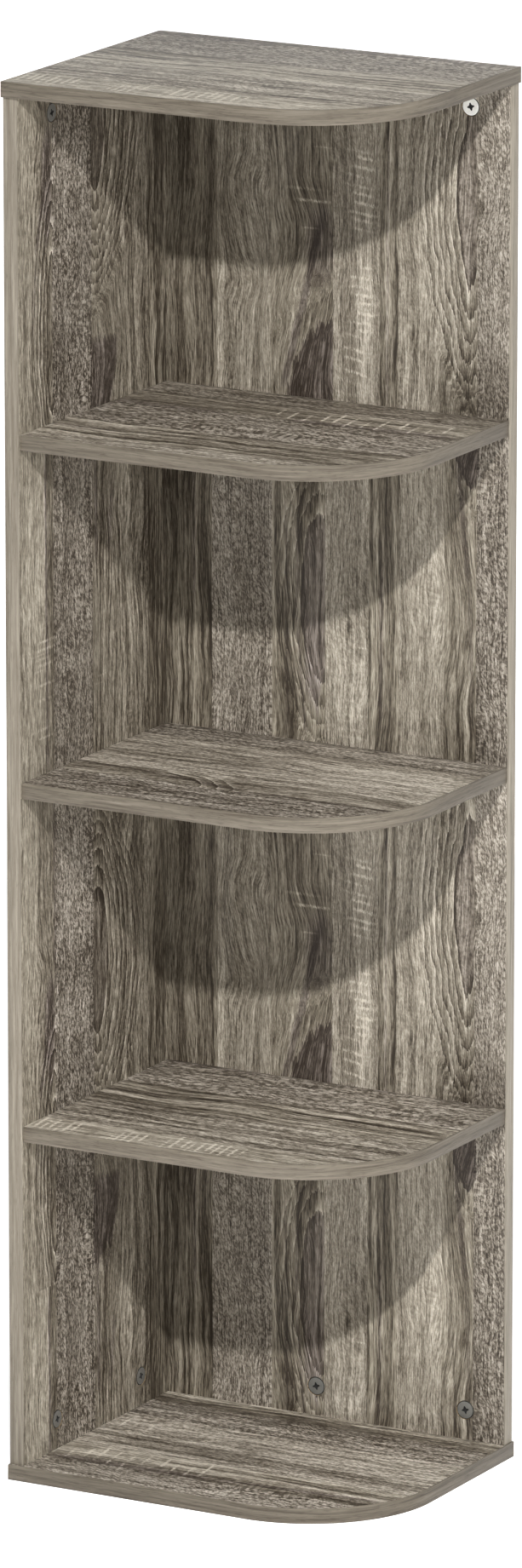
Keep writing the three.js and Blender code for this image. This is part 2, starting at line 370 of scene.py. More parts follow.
def makeVein():
    # One streak along the grain from a start to an end, which may lean aside on the way
    tipLength = 18.0
    tree, given, result = startGroup("vein", (*courseInputs, "Ragged"), ["Vein"])
    across, depth, along = separate(given["Place"])
    course = {"Value": along, "From Min": given["From Along"], "From Max": given["To Along"],
              "To Min": given["From Across"], "To Max": given["To Across"]}
    middle = addNode("MapRange", course).outputs[0]
    jagged = times(given["Ragged"], addShare(given["Half Width"], 1.2, 1.0))
    aside = absolute(plus(minus(across, middle), jagged))
    body = fade(aside, given["Half Width"], times(given["Half Width"], 0.3))
    low = calc("MINIMUM", given["From Along"], given["To Along"])
    high = calc("MAXIMUM", given["From Along"], given["To Along"])
    start = fade(along, low, plus(low, tipLength))
    end = fade(along, high, minus(high, tipLength))
    feed(result["Vein"], times(body, times(start, end)))
    return tree


def makePatch():
    # A soft oval, paler or darker than its plank
    tree, given, result = startGroup("patch", (*spotInputs, "Ragged"), ["Patch"])
    aside, ahead, inside = placeInSpot(given)
    wide, tall = over(aside, given["Half Width"]), over(ahead, given["Half Length"])
    level = plus(times(wide, wide), times(tall, tall))
    soft = fade(addShare(given["Ragged"], 1.2, level), 1.2, 0.2)
    feed(result["Patch"], times(soft, inside))
    return tree


effects = {
    "grain": makeGrain(),
    "arches": makeArches(),
    "sawMarks": makeSawMarks(),
    "vein": makeVein(),
    "patch": makePatch(),
}

oakTones = [  # from the darkest heart to the palest sapwood
    (0.0, linear(48, 40, 31)),
    (0.25, linear(88, 80, 69)),
    (0.5, linear(128, 120, 107)),
    (0.75, linear(168, 160, 146)),
    (1.0, linear(208, 200, 186)),
]

oak = {
    "fibre": 0.28,
    "dash": 0.41,
    "streak": 0.32,
    "line": -0.2,
    "pore": -0.17,
    "creamTint": (1.0, 1.0, 0.965, 1),
    "greyTint": (1.0, 1.0, 1.04, 1),
    "flameTint": (1.02, 1.0, 1.1, 1),
    "rough": 0.48,
    "roughFibre": 0.12,
    "raggedStretch": (0.5, 0.0, 0.05),
    "wobbleStretch": (0.03, 0.0, 0.02),
    "nearDepth": 6.0,  # a surface deeper than this shows the sheet of the outer face
}


def plankMap(across, planks, low, high):
    # Tone, speckle and streak of the plank at this place
    reach = high - low
    stops = [((start - low) / reach, (*values, 1)) for start, *values in planks]
    inputs = {"Value": across, "From Min": low, "From Max": high}
    share = addNode("MapRange", inputs).outputs[0]
    ramp = rampOf(share, stops + [(1.0, stops[-1][1])], "CONSTANT")
    return list(addNode("SeparateColor", {0: ramp}).outputs)[:3]


def paintOak(place, layout, tint):
    # Returns the colour, the roughness and the height of one printed sheet
    across, depth, along = separate(place)
    if "repeat" in layout:
        low, high = layout["repeat"]
        inner, slide = layout["outer"]  # the far face shows another part of the sheet
        off = absolute(minus(depth, inner))
        far = calc("GREATER_THAN", off, oak["nearDepth"])
        along = addShare(far, slide, along)
        along = choose(far, calc("WRAP", along, high, low), along)
    sheet = combine(across, 0.0, along)
    ragged = centred(noise(sheet, oak["raggedStretch"], 2.0, 0.65))
    wobble = centred(noise(sheet, oak["wobbleStretch"]))
    plank = plankMap(across, layout["planks"], *layout["width"])
    if "lowerPlanks" in layout:
        below = calc("LESS_THAN", along, layout["lowerFrom"])
        lower = plankMap(across, layout["lowerPlanks"], *layout["width"])
        plank = [choose(below, one, two) for one, two in zip(plank, lower)]
    tone, speckle, streak = plank
    flame, shift = 0.0, 0.0

    def use(effect, names, values, edge=ragged, **more):
        inputs = {"Place": sheet, "Ragged": edge, **dict(zip(names, values)), **more}
        return useGroup(effects[effect], inputs)

    def paint(mask, pale, red=0):
        nonlocal tone, flame
        tone = addShare(mask, pale, tone)
        flame = addShare(mask, red, flame) if red else flame

    for spot, area, step, reach, teeth, dark, rings, red in layout["arches"]:
        more = {"Step": step, "Reach": reach, "Teeth": teeth, "Wobble": wobble}
        found = use("arches", spotInputs, spot + area, **more)
        paint(found["Core"], -dark, red)
        paint(found["Rings"], -rings)
        shift = plus(found["Shift"], shift)
    for spot, area, length, lean in layout["leans"]:
        found = use("patch", spotInputs, spot + area, 0.0)
        ahead = minus(along, spot[1])
        ahead = addNode("Clamp", {0: ahead, 1: -length, 2: length}).outputs[0]
        shift = addShare(times(found["Patch"], -0.6 * lean), ahead, shift)
    acrossSpread, alongSpread = layout["spread"]
    flowing = combine(times(plus(across, shift), acrossSpread),
                      plus(depth, layout["seed"]), times(along, alongSpread))
    grain = useGroup(effects["grain"], {"Place": flowing, "Bend": layout["bend"]})

    for spot, area, pitch, slant, pale in layout["sawMarks"]:
        more = {"Pitch": pitch, "Slant": slant, "Worn": grain["Dash"]}
        found = use("sawMarks", spotInputs, spot + area, **more)
        paint(found["Marks"], pale)
    for *course, pale, red in layout["veins"]:
        found = use("vein", courseInputs, course)
        paint(found["Vein"], pale, red)
    for spot, area, pale, red in layout["patches"]:
        found = use("patch", spotInputs, spot + area)
        paint(found["Patch"], pale, red)

    gain = layout["contrast"]
    tone = addShare(centred(grain["Streak"]), times(streak, oak["streak"] * gain), tone)
    tone = addShare(grain["Line"], times(streak, oak["line"] * gain), tone)
    tone = addShare(centred(grain["Broad"]), layout["broad"], tone)
    tone = addShare(centred(grain["Fibre"]), oak["fibre"] * gain, tone)
    tone = addShare(centred(grain["Dash"]), times(speckle, oak["dash"] * gain), tone)
    tone = addShare(grain["Pore"], oak["pore"] * gain, tone)
    tone = plus(tone, tint)

    grey = calc("MINIMUM", speckle, 1.0)
    cast = mixColour(grey, oak["creamTint"], oak["greyTint"])
    cast = mixColour(calc("MINIMUM", flame, 1.0), cast, oak["flameTint"])
    colour = mixColour(1.0, rampOf(tone, oakTones), cast, "MULTIPLY")
    rough = addShare(grain["Fibre"], oak["roughFibre"], oak["rough"])
    height = minus(times(grain["Fibre"], 0.4), grain["Pore"])
    return colour, rough, height


def startMaterial(name, axes="xyz", shift=(0.0, 0.0, 0.0)):
    # Returns the material and the place in millimetres, with its axes in this order
    material = bpy.data.materials.new(name)
    material.use_nodes = True
    added = material.node_tree.nodes
    coordinates = added.new("ShaderNodeTexCoord").outputs["Object"]
    scaled = vectorMath("SCALE", {0: coordinates, "Scale": 1000.0})
    parts = dict(zip("xyz", separate(scaled)))
    place = combine(*[parts[axis] for axis in axes])
    return material, vectorMath("ADD", {0: place, 1: shift})


def surfaceOf(material):
    return material.node_tree.nodes["Principled BSDF"].inputs


def finishSurface(material, colour, rough, height, strength, specular):
    surface = surfaceOf(material)
    feed(surface["Base Color"], colour)
    feed(surface["Roughness"], rough)
    inputs = {"Height": height, "Strength": strength, "Distance": 0.0002}
    feed(surface["Normal"], addNode("Bump", inputs).outputs[0])
    surface["Specular IOR Level"].default_value = specular
    return material


def makeOak(name, layout, axes, shift=(0.0, 0.0), tint=0.0):
    material, place = startMaterial(name, axes, (shift[0], 0.0, shift[1]))
    return finishSurface(material, *paintOak(place, layout, tint), 0.25, 0.3)


# Layouts of the printed sheets, in millimetres. A plank is (start, tone, speckle, streak)
# A spot is (across, along, half width, half length), and its area is (left, right, bottom, top)
# An arch is (spot, area, step, reach, teeth, dark, rings, flame), a lean (spot, area, length, lean),
# a saw mark (spot, area, pitch, slant, pale), a patch (spot, area, pale, flame), and
# a vein (from across, from along, to across, to along, half width, pale, flame)
# Pale is how much paler it is, or darker below 0, and flame is how much redder

# Back panel, seen from the front: across is x and along is z
backSheet = {
    "seed": 30.0,
    "broad": 0.06,
    "bend": 20.0,
    "contrast": 1.2,
    "spread": (1.0, 1.0),
    "repeat": (536.0, 1086.0),
    "outer": (106.5, 230.0),
    "width": (-160.0, 160.0),
    "planks": [
        (-160, 0.4, 0.15, 0.9), (-98, 0.55, 0.3, 0.7), (-52, 0.47, 0.15, 0.9), (2.5, 0.57, 0.4, 0.5),
        (42, 0.53, 0.15, 1.1), (58, 0.59, 0.35, 0.8), (125.8, 0.54, 0.85, 0.2),
    ],
    "lowerFrom": 811.0,
    "lowerPlanks": [
        (-160, 0.39, 0.1, 1.3), (-103, 0.49, 0.8, 0.4), (-51, 0.45, 0.1, 1.1), (-4, 0.63, 0.4, 0.6),
        (33, 0.5, 0.1, 1.2), (60, 0.62, 0.35, 0.6), (98, 0.54, 0.2, 1.1), (125.8, 0.47, 0.9, 0.5),
    ],
    "arches": [
        ((120, 985, 7, 72), (58, 125.8, 811, 1100), 0.75, 6.2, 16, 0.1, 0.42, 0.5),
        ((3, 790, 27, 88), (-52, 2.5, 811, 1000), 0.5, 2.2, 40, 0.26, 0.14, 1),
        ((-8, 660, 11, 66), (-51, -4, 500, 811), 0.6, 3.6, 16, 0.1, 0.28, 0.7),
        ((121, 806, 8, 46), (98, 128, 700, 811), 0.7, 2.4, 30, 0.3, 0.2, 1),
    ],
    "leans": [
        ((-22, 880, 36, 100), (-52, 2.5, 811, 1086), 70, 0.25),
        ((112, 700, 26, 100), (90, 125.8, 560, 811), 80, -0.14),
        ((-75, 940, 30, 60), (-98, -52, 811, 1086), 40, -0.35),
        ((-30, 590, 26, 60), (-51, -4, 500, 811), 50, -0.2),
    ],
    "sawMarks": [
        ((27, 980, 15, 34), (2.5, 42, 811, 1086), 6.8, 0.12, 0.5),
        ((28, 896, 12, 28), (2.5, 45, 811, 1086), 7, 0.04, 0.42),
        ((18, 845, 14, 26), (2.5, 45, 811, 1086), 9, 0.2, 0.34),
        ((-20, 972, 24, 9), (-52, 2.5, 811, 1086), 9, 0, 0.5),
        ((-16, 944, 9, 4), (-52, 2.5, 811, 1086), 8, 0, 0.45),
        ((-10, 1013, 14, 4), (-52, 2.5, 811, 1086), 8, 0, 0.25),
        ((-94, 569, 16, 16), (-103, -51, 500, 811), 6, 0.05, 0.22),
        ((20, 570, 15, 20), (-4, 34, 500, 811), 5.6, 0, 0.22),
        ((26, 623, 10, 4), (-4, 34, 500, 811), 8, 0, 0.3),
    ],
    "veins": [
        (-4, 965, -42, 816, 4.5, -0.2, 0.8), (1, 940, -20, 830, 3, 0.1, 0),
        (-36, 930, -48, 816, 4, 0.12, 0), (-28, 930, -37, 816, 1.6, 0.1, 0),
        (-59, 925, -66, 812, 4.5, -0.16, 0), (-53, 1086, -52, 900, 2, -0.14, 0),
        (-119, 1086, -121, 900, 6, -0.1, 0), (-103, 905, -102, 812, 1.8, -0.12, 0),
        (57, 1086, 56.5, 812, 1.8, -0.2, 0), (50, 1086, 49, 812, 1.2, -0.14, 0.5),
        (43, 1000, 44, 812, 1.4, -0.14, 0), (108, 1086, 110, 960, 1.6, -0.14, 0),
        (108, 800, 120, 680, 3.4, -0.2, 0.5), (120, 690, 124, 560, 2.6, -0.16, 0.3),
        (103, 760, 112, 560, 1.2, -0.16, 0), (45, 700, 44, 560, 2.2, -0.16, 0.5),
        (37, 811, 34, 560, 1.6, -0.14, 0), (-27, 740, -29, 640, 1.6, -0.2, 0.5),
        (-29, 650, -20, 545, 1.8, -0.18, 0.5), (-20, 650, -9, 560, 2.2, -0.14, 1),
        (-38, 740, -36, 545, 1.6, -0.16, 0.3), (-119, 811, -118, 640, 2.2, -0.16, 0.5),
        (-133, 811, -134, 560, 1.8, -0.12, 0),
    ],
    "patches": [
        # The next patch is partly the print's own darker tone and partly painted shade near the shelf
        # below, at the right end
        ((140, 811, 60, 62), (42, 160, 811, 1086), -0.18, 0),
        ((-70, 860, 40, 60), (-98, -52, 811, 1086), 0.06, 0),
        # The next patch is painted shade near the shelf below, across the right part of the panel
        ((60, 548, 110, 32), (-4, 160, 536, 811), -0.1, 0),
        ((30, 893, 9, 44), (2.5, 45, 811, 1086), 0.14, 0),
        ((32, 840, 9, 50), (2.5, 45, 811, 1086), 0.1, 0),
        ((-8, 935, 15, 36), (-52, 2.5, 811, 1086), -0.16, 0.5),
        ((-118, 1000, 24, 90), (-142.5, -98, 811, 1086), -0.05, 0),
        ((17, 590, 16, 50), (-4, 34, 500, 811), 0.12, 0),
        ((94, 680, 12, 70), (60, 108, 500, 811), 0.12, 0),
        ((-66, 700, 14, 90), (-103, -51, 500, 811), -0.12, 0),
        ((-14, 610, 9, 36), (-51, -4, 500, 811), -0.06, 1),
    ],
}

# Side panel: across is y and along is z
sideSheet = {
    "seed": 80.0,
    "broad": 0.06,
    "bend": 20.0,
    "contrast": 1.4,
    "spread": (0.8, 1.0),
    "repeat": (536.0, 1192.0),
    "outer": (-142.5, 300.0),
    "width": (-130.0, 130.0),
    "planks": [
        (-130, 0.59, 0.2, 0.4), (-93, 0.45, 0.25, 0.6), (-66.5, 0.42, 0.9, 0.3),
        (-7.5, 0.48, 0.25, 0.7), (79, 0.39, 0.1, 1),
    ],
    "lowerFrom": 800.0,
    "lowerPlanks": [
        (-130, 0.6, 0.2, 0.5), (-79, 0.36, 0.2, 0.5), (-66.5, 0.43, 0.85, 0.4),
        (-7.5, 0.46, 0.25, 1), (78, 0.31, 0.1, 1.2),
    ],
    "arches": [
        ((-68, 885, 5, 62), (-130, -64, 800, 1060), 0.85, 5.2, 10, 0, 0.52, 0),
        ((-1, 1040, 10, 58), (-7.5, 70, 800, 1192), 0.66, 7.5, 10, 0.16, 0.38, 0.3),
        ((-4, 880, 23, 80), (-9, 40, 790, 868), 0.5, 1.4, 36, 0.24, 0.1, 1),
    ],
    "leans": [
        ((25, 800, 34, 90), (-7.5, 78, 700, 900), 70, 0.25),
        ((-80, 1000, 20, 70), (-110, -66.5, 900, 1100), 60, 0.2),
    ],
    "sawMarks": [
        ((-84, 676, 22, 5), (-117, -62, 536, 800), 8, 0, 0.2),
        ((-78, 664, 10, 4), (-117, -62, 536, 800), 8, 0, 0.2),
        ((-80, 648, 20, 6), (-117, -62, 536, 800), 6, 0, 0.36),
        ((-82, 635, 20, 7), (-117, -62, 536, 800), 5, 0, 0.34),
        ((-80, 612, 17, 16), (-117, -62, 536, 800), 12, 0, 0.26),
        ((-84, 580, 18, 5), (-117, -62, 536, 800), 8, 0, 0.26),
        ((3, 604, 9, 4), (-7, 40, 536, 800), 8, 0, 0.24),
    ],
    "veins": [
        (-66, 1048, -91, 945, 3.4, -0.2, 0.8), (-90, 950, -97, 880, 2.2, -0.18, 0.4),
        (-97, 900, -94, 806, 2, -0.14, 0), (-66, 985, -84, 930, 1.8, -0.16, 0.4),
        (-68, 884, -68, 858, 4, -0.16, 0), (-67, 1192, -66.5, 1040, 2.6, -0.16, 0.5),
        (-95, 1180, -96, 1150, 1.6, -0.14, 0), (-2, 1110, -2, 990, 1.5, -0.16, 0),
        (-4, 830, -1, 690, 3.6, -0.14, 0.7), (32, 862, 8, 780, 3.4, -0.16, 0.5),
        (24, 760, 16, 694, 3.4, -0.16, 0.6), (40, 850, 30, 740, 4, 0.1, 0),
        (-6, 700, -6, 545, 1.2, 0.18, 0), (3, 662, 3, 600, 1, 0.18, 0),
        (9, 670, 9, 570, 1, 0.2, 0), (20, 690, 19, 600, 1.2, 0.12, 0),
        (42, 720, 40, 560, 1.4, 0.12, 0), (0, 560, 20, 540, 3, -0.12, 0),
        (-78, 800, -76, 545, 2.2, -0.1, 1), (79, 1192, 80, 540, 1.4, -0.1, 0),
        (52, 1010, 58, 820, 1.6, -0.1, 0),
    ],
    "patches": [
        ((-62, 865, 22, 36), (-93, -40, 811, 930), -0.08, 0),
        ((-74, 1000, 9, 48), (-93, -66.5, 940, 1060), -0.12, 1),
        ((-36, 1050, 60, 20), (-66.5, -7.5, 1030, 1100), -0.08, 0),
        ((-36, 1100, 34, 70), (-66.5, -7.5, 1030, 1192), 0.1, 0),
        ((-38, 1005, 38, 22), (-66.5, -7.5, 960, 1040), 0.08, 0),
        ((-70, 750, 7, 34), (-79, -60, 700, 800), 0.16, 0),
        ((-100, 700, 18, 90), (-118, -79, 536, 800), 0.05, 0),
        ((42, 740, 14, 60), (-7.5, 79, 660, 860), 0.1, 0),
        ((50, 620, 26, 60), (-7.5, 79, 536, 800), 0.06, 0),
        ((8, 1050, 6, 34), (-7.5, 40, 990, 1120), 0.08, 0),
    ],
}

# Boards: across is y and along is x, and each board shows its own part of one large sheet
everywhere = (-200, 600, -400, 400)
boardSheet = {
    "seed": 50.0,
    "broad": 0.1,
    "bend": 9.0,
    "contrast": 1.35,
    "spread": (0.55, 0.65),
    "width": (-130.0, 570.0),
    "planks": [
        (-130, 0.61, 0.3, 0.4), (-80, 0.52, 0.55, 0.8), (-15, 0.5, 0.35, 1.3), (42, 0.47, 0.8, 0.4),
        (107, 0.38, 0.4, 0.7), (120, 0.56, 0.35, 0.9), (148, 0.46, 0.6, 0.8), (190, 0.55, 0.6, 0.6),
        (232, 0.43, 0.85, 0.5), (272, 0.4, 0.4, 1.2), (325, 0.43, 0.85, 0.5), (380, 0.5, 0.4, 0.6),
        (412, 0.57, 0.5, 0.5), (508, 0.47, 0.8, 0.5),
    ],
    "arches": [
        ((378, -190, 34, 170), (380, 412, -160, 20), 0.18, 1.7, 6, 0, 0.36, 0),
    ],
    "leans": [
        ((20, -50, 55, 80), everywhere, 40, 0.16),
        ((395, -30, 40, 90), everywhere, 60, -0.2),
        ((468, 30, 30, 50), everywhere, 34, -0.28),
        ((285, 90, 22, 80), everywhere, 60, 0.1),
    ],
    "sawMarks": [
        ((-97, -128, 19, 30), (-116, -76, -400, 400), 6, 0.1, 1),
        ((-97, -57, 18, 16), (-116, -76, -400, 400), 6, 0.1, 1),
        ((-97, 6, 18, 36), (-116, -76, -400, 400), 7, 0.1, 1),
        ((128, 60, 20, 80), (104, 150, -400, 400), 13, 0.1, 0.95),
        ((206, 20, 18, 24), (190, 232, -400, 400), 12, 0.1, 0.5),
    ],
    "veins": [
        (-55, -170, -55, -10, 2, -0.24, 0), (-76, 10, -64, 170, 2.4, -0.22, 0),
        (-90, 60, -76, 170, 2, -0.14, 0), (14, -170, 16, -76, 4, -0.2, 0.4),
        (16, -80, 38, -20, 3, -0.2, 0.4), (38, -30, 40, 170, 2.4, -0.2, 0.4),
        (-2, -170, 0, -70, 2.4, -0.18, 0), (0, -80, 18, 0, 2, -0.18, 0),
        (18, -10, 16, 170, 2, -0.16, 0), (8, -60, 27, 10, 1.6, -0.16, 0),
        (-26, -170, -16, 0, 1.6, -0.12, 0), (112, -170, 109, -40, 9, -0.12, 0.6),
        (111, 0, 114, 150, 7, -0.04, 0.8), (114, 140, 126, 290, 4, -0.1, 0.8),
        (298, 20, 289, 140, 3, -0.18, 0), (289, 130, 300, 300, 3, -0.18, 0),
        (306, -10, 300, 140, 2, -0.14, 0), (412, -170, 402, -60, 3.6, -0.28, 0.4),
        (402, -70, 384, 20, 4.6, -0.32, 0.5), (385, 10, 382, 170, 3, -0.3, 0.6),
        (404, -20, 394, 170, 1.4, -0.12, 0), (536, 30, 524, 170, 3, -0.18, 0),
        (530, -170, 540, -60, 3, -0.14, 0), (480, -10, 462, 50, 1.6, -0.16, 0),
        (486, 0, 470, 60, 1.2, 0.14, 0),
    ],
    "patches": [
        ((462, 80, 38, 90), everywhere, 0.14, 0),
        ((149, 60, 7, 90), everywhere, 0.14, 0),
        ((350, -100, 30, 80), (325, 380, -400, 400), -0.06, 0),
        ((250, 200, 24, 90), (232, 272, -400, 400), -0.06, 0),
        ((90, -110, 30, 60), (42, 107, -400, 400), -0.05, 0),
    ],
}

boardParts = {  # how far each board is moved over the sheet, and how much paler it is printed; the top and bottom boards' extra paleness is partly painted light, for the stronger light that falls on them
    "top_board": ((0.0, 0.0), 0.13),
    "shelf_upper": ((82.0, 0.0), 0.03),
    "shelf_middle": ((440.0, 0.0), 0.06),
    "shelf_lower": ((4.0, 0.0), 0.05),
    "bottom_board": ((192.0, 145.0), 0.11),
}

bandTones = {  # tone, and how far its streaks are moved so that each band has its own
    "side": (0.52, 80.0),
    "back": (0.63, 160.0),
    "board": (0.355, 240.0),
}


def makeBand(name, axes, tone, shift):
    # Plain fine streaks along the band: the first axis runs across it
    material, place = startMaterial(name, axes, (shift, 0.0, 0.0))
    fine = noise(place, (0.8, 0.03, 0.03), 3.0, 0.65)
    broad = noise(place, (0.3, 0.008, 0.008))
    flecks = noise(place, (1.4, 0.12, 0.12), 1.0)
    value = addShare(centred(fine), 0.5, tone)
    value = addShare(centred(broad), 0.4, value)
    value = addShare(fade(flecks, 0.6, 0.68), -0.07, value)
    rough = addShare(fine, 0.2, 0.42)
    height = times(fine, 0.5)
    return finishSurface(material, rampOf(value, oakTones), rough, height, 0.2, 0.3)


def makeMetal(name, colour, rough, metallic):
    material, place = startMaterial(name)
    cast = noise(place, (1.6, 1.6, 1.6), 3.0, 0.6)
    stains = noise(place, (0.25, 0.25, 0.25))
    shade = addShare(centred(cast), 0.35, 1.0)
    shade = addShare(centred(stains), 0.3, shade)
    tinted = vectorMath("SCALE", {0: colour[:3], "Scale": shade})
    rough = addShare(cast, 0.25, rough - 0.12)
    surfaceOf(material)["Metallic"].default_value = metallic
    return finishSurface(material, tinted, rough, cast, 0.15, 0.5)


def makeBeech():
    material, place = startMaterial("beech")
    fine = noise(place, (1.2, 1.2, 0.08), 3.0, 0.6)
    flecks = fade(noise(place, (2.2, 2.2, 0.5), 1.0), 0.6, 0.7)
    value = minus(fine, times(flecks, 0.2))
    colour = rampOf(value, [(0.2, linear(158, 122, 84)), (0.8, linear(214, 184, 142))])
    return finishSurface(material, colour, addShare(fine, 0.2, 0.55), fine, 0.3, 0.3)


def makeChipboard():
    material, place = startMaterial("chipboard")
    chips = addNode("TexVoronoi", {"Vector": place, "Scale": 0.9}, feature="F1")
    chip = separate(chips.outputs["Color"])[0]
    dust = noise(place, (2.5, 2.5, 2.5), 3.0, 0.6)
    value = addShare(chip, 0.6, times(dust, 0.4))
    colour = rampOf(value, [(0.1, linear(104, 82, 58)), (0.9, linear(196, 170, 130))])
    return finishSurface(material, colour, addShare(dust, 0.15, 0.75), value, 0.5, 0.2)


def seenDirectly(tree):
    # 1 for what the camera sees, also in metal and through glass, and 0 for light on the object
    seen = tree.nodes.new("ShaderNodeLightPath").outputs
    mirrored = calc("MAXIMUM", seen["Is Glossy Ray"], seen["Is Transmission Ray"])
    return calc("MAXIMUM", seen["Is Camera Ray"], mirrored)


def makeFloor():
    material, place = startMaterial("floor")
    surface = surfaceOf(material)
    specks = times(noise(place, (0.01, 0.01, 0.01)), 0.04)
    shade = mixColour(specks, light["floorColour"], light["floorSpecks"])
    feed(surface["Base Color"], shade)
    surface["Roughness"].default_value = 0.9
    surface["Specular IOR Level"].default_value = 0.1
    surface["Emission Color"].default_value = (1, 1, 1, 1)
    lift = times(seenDirectly(material.node_tree), light["floorLift"])
    feed(surface["Emission Strength"], lift)
    return material


def setWorld():
    world = bpy.data.worlds.new("studio")
    bpy.context.scene.world = world
    world.use_nodes = True
    tree = world.node_tree
    background = tree.nodes["Background"].inputs
    background["Color"].default_value = (1, 1, 1, 1)
    feed(background["Strength"], choose(seenDirectly(tree), light["fill"], 1.0))


def addFloor(material):
    bpy.ops.mesh.primitive_circle_add(vertices=96, radius=light["floorRadius"], fill_type="NGON")
    floor = bpy.context.active_object
    floor.name = "floor"
    floor.data.materials.append(material)


addCamera()
addLights()
setWorld()
addFloor(makeFloor())
bpy.context.scene.view_settings.view_transform = "Standard"
print("view and light ready")

finish = {
    "side": makeOak("side_laminate", sideSheet, "yxz"),
    "back": makeOak("back_laminate", backSheet, "xyz"),
    "sideBand": makeBand("side_band", "xyz", *bandTones["side"]),
    "backBand": makeBand("back_band", "yxz", *bandTones["back"]),
    "boardBand": makeBand("board_band", "zxy", *bandTones["board"]),
    "zinc": makeMetal("zinc", linear(116, 115, 110), 0.5, 0.35),
    # Near-white zinc for one cam: a painted reflection, the bright glint that its face shows, painted
    # into its colour
    "paintedReflectionZinc": makeMetal("zinc_painted_reflection", linear(248, 247, 242), 0.42, 0.1),
    # Near-black metal that paints shade into the cam's driver recess and into the gap round its rim
    "recessPaintedShade": makeMetal("recess_painted_shade", linear(30, 29, 28), 0.7, 0.0),
    "steel": makeMetal("steel", linear(176, 176, 174), 0.38, 0.9),
    "beech": makeBeech(),
    "chipboard": makeChipboard(),
}
for boardName, part in boardParts.items():
    finish[boardName] = makeOak(boardName + "_laminate", boardSheet, "yzx", *part)
print("materials ready")

# Modelling helpers


def deselectAll():
    bpy.ops.object.select_all(action="DESELECT")


def makeActive(piece):
    deselectAll()
    piece.select_set(True)
    bpy.context.view_layer.objects.active = piece


def applyPlace(piece):
    makeActive(piece)
    bpy.ops.object.transform_apply(location=True, rotation=True, scale=True)


def setMode(mode):
    bpy.ops.object.mode_set(mode=mode)


def addBlock(name, low, high):
    deselectAll()
    middle = [(a + b) / 2 for a, b in zip(low, high)]
    bpy.ops.mesh.primitive_cube_add(size=1, location=middle)
    block = bpy.context.active_object
    block.name = name
    block.scale = [b - a for a, b in zip(low, high)]
    applyPlace(block)
    return block


def addRod(start, end, startRadius, endRadius, sides=32):
    deselectAll()
    line = Vector(end) - Vector(start)
    turn = line.to_track_quat("Z", "Y").to_euler()
    middle = (Vector(start) + Vector(end)) / 2
    bpy.ops.mesh.primitive_cone_add(vertices=sides, radius1=startRadius, radius2=endRadius,
                                    depth=line.length, location=middle, rotation=turn)
    rod = bpy.context.active_object
    applyPlace(rod)
    return rod


def addDisc(sides, radius, depth, z):
    deselectAll()
    bpy.ops.mesh.primitive_cylinder_add(vertices=sides, radius=radius, depth=depth, location=(0, 0, z))
    disc = bpy.context.active_object
    applyPlace(disc)
    return disc


def spinBy(piece, degrees):
    piece.rotation_euler = Euler((0, 0, math.radians(degrees)))
    applyPlace(piece)


def cutOut(piece, cutters, slotIndex=0):
    # Takes each cutter away in turn, and gives the cut walls the piece's material in that slot
    for cutter in cutters:
        while len(cutter.data.materials) <= slotIndex:
            cutter.data.materials.append(None)
        for face in cutter.data.polygons:
            face.material_index = slotIndex
        makeActive(piece)
        cut = piece.modifiers.new("cut", "BOOLEAN")
        cut.operation = "DIFFERENCE"
        cut.solver = "EXACT"
        cut.object = cutter
        bpy.ops.object.modifier_apply(modifier=cut.name)
        bpy.data.objects.remove(cutter)


def joinAll(cutters):
    deselectAll()
    for cutter in cutters:
        cutter.select_set(True)
    bpy.context.view_layer.objects.active = cutters[0]
    bpy.ops.object.join()
    return cutters[0]


def breakEdges(piece, width, angle=40, segments=2):
    makeActive(piece)
    bevel = piece.modifiers.new("edges", "BEVEL")
    bevel.width = width
    bevel.segments = segments
    bevel.limit_method = "ANGLE"
    bevel.angle_limit = math.radians(angle)
    bevel.use_clamp_overlap = True
    bpy.ops.object.modifier_apply(modifier=bevel.name)


def smooth(piece, angle=30):
    makeActive(piece)
    bpy.ops.object.shade_smooth_by_angle(angle=math.radians(angle))


def bevelWhere(piece, wanted, width, segments):
    # Bevels the edges whose two ends pass the test
    makeActive(piece)
    setMode("EDIT")
    bpy.ops.mesh.select_all(action="DESELECT")
    bpy.ops.mesh.select_mode(type="EDGE")
    setMode("OBJECT")
    points = piece.data.vertices
    for edge in piece.data.edges:
        edge.select = all(wanted(points[i].co) for i in edge.vertices)
    setMode("EDIT")
    bpy.ops.mesh.bevel(offset=width, segments=segments, profile=0.5, affect="EDGES")
    setMode("OBJECT")


def setFinish(piece, *materials):
    piece.data.materials.clear()
    for material in materials:
        piece.data.materials.append(material)


def settle(piece, body, slot, *replaced):
    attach(piece, body)
    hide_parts(*replaced)


def completeWood(piece, edge, slot, replaced):
    breakEdges(piece, edge)
    smooth(piece)
    settle(piece, "carcass", slot, replaced)


def copyPiece(piece, name, place):
    twin = piece.copy()
    twin.data = piece.data.copy()
    twin.name = name
    twin.data.name = name
    bpy.context.scene.collection.objects.link(twin)
    twin.matrix_world = place
    applyPlace(twin)
    return twin


def turnTo(place, along, outward):
    across = along.cross(outward)
    return Matrix.Translation(place) @ Matrix((across, along, outward)).transposed().to_4x4()


# Holes for the hidden hardware

